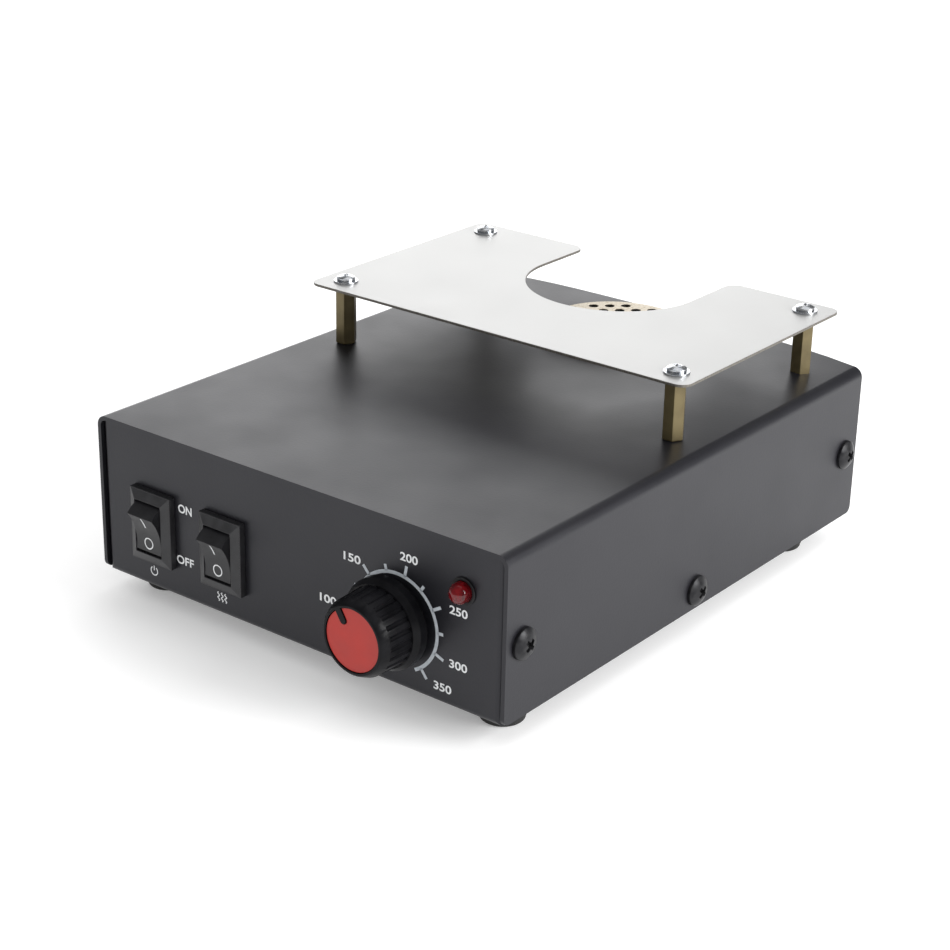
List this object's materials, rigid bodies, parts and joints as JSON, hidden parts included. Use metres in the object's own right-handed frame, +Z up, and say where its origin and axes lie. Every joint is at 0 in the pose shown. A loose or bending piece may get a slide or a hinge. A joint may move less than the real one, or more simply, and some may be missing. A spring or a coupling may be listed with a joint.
{
  "type": "circuit board preheater",
  "caption": "Bench hot-air preheater for circuit boards: folded metal box with rocker switches, a heat dial, a lamp, a roof outlet and a steel work plate on pillars.",
  "frame": {"origin": "on the bench, under the middle of the object's footprint box", "axes": "+Z up, -Y out of the control panel, +X to the right seen from the front"},
  "size_m": [0.1448, 0.1899, 0.0731],
  "materials": {
    "powder_coat": "satin black powder coat",
    "black_screw": "black oxide",
    "rubber": "matte",
    "zinc": "bright zinc plate",
    "brass": "bright turned",
    "plate_steel": "satin stainless steel",
    "ceramic": "unglazed cream ceramic",
    "heater_steel": "mill finish",
    "mica": "mica board",
    "resistance_wire": "oxidised wire",
    "fan_plastic": "moulded",
    "switch_plastic": "fine moulded",
    "knob_plastic": "moulded",
    "cap_red": "satin red",
    "lamp_red": "clear tinted resin",
    "collar_plastic": "moulded",
    "inlet_plastic": "moulded",
    "board": "solder mask",
    "core_iron": "varnished laminations",
    "winding_tape": "polyester tape",
    "sink_aluminium": "extruded",
    "moulded_case": "epoxy",
    "capacitor_sleeve": "shrink sleeve",
    "block_plastic": "moulded"
  },
  "bodies": {
    "housing": {"base_tray": "powder_coat", "top_cover": "powder_coat", "cover_screws": "black_screw", "foot_front_left": "rubber", "foot_front_right": "rubber", "foot_rear_left": "rubber", "foot_rear_right": "rubber", "foot_screws": "zinc", "foot_nuts": "zinc", "pillar_nuts": "zinc", "plate_washers": "zinc", "plate_screws": "zinc", "fan_screws": "zinc", "fan_nuts": "zinc", "pot_washer": "zinc", "pot_nut": "zinc", "potentiometer": "zinc", "inlet_screws": "zinc", "inlet_nuts": "zinc", "board_spacers": "zinc", "board_screws": "zinc", "pillar_front_left": "brass", "pillar_front_right": "brass", "pillar_rear_left": "brass", "pillar_rear_right": "brass", "switch_terminals": "brass", "inlet_pins": "brass", "work_plate": "plate_steel", "outlet_disc": "ceramic", "heater_can": "heater_steel", "heater_former": "mica", "heater_coil": "resistance_wire", "fan_frame": "fan_plastic", "power_switch_body": "switch_plastic", "heater_switch_body": "switch_plastic", "lamp": "lamp_red", "lamp_collar": "collar_plastic", "mains_inlet": "inlet_plastic", "control_board": "board", "transformer_core": "core_iron", "transformer_winding": "winding_tape", "heat_sink": "sink_aluminium", "triac": "moulded_case", "capacitors": "capacitor_sleeve", "terminal_block": "block_plastic"},
    "power_rocker": {"power_rocker": "switch_plastic"},
    "heater_rocker": {"heater_rocker": "switch_plastic"},
    "dial": {"knob": "knob_plastic", "knob_cap": "cap_red", "pot_shaft": "zinc"},
    "fan_rotor": {"fan_rotor": "fan_plastic"}
  },
  "joints": [
    {"name": "power_rocker_tilt", "type": "hinge", "parent": "housing", "child": "power_rocker", "pos_m": [-0.0494, -0.0786, 0.025], "axis": [-1, 0, 0], "range_deg": [0, 30]},
    {"name": "heater_rocker_tilt", "type": "hinge", "parent": "housing", "child": "heater_rocker", "pos_m": [-0.0236, -0.0786, 0.025], "axis": [-1, 0, 0], "range_deg": [0, 30]},
    {"name": "dial_turn", "type": "hinge", "parent": "housing", "child": "dial", "pos_m": [0.035, -0.0786, 0.025], "axis": [0, 1, 0], "range_deg": [-111, 175]},
    {"name": "fan_spin", "type": "hinge", "parent": "housing", "child": "fan_rotor", "pos_m": [0, 0.0659, 0.015], "axis": [0, 0, 1], "continuous": true}
  ]
}
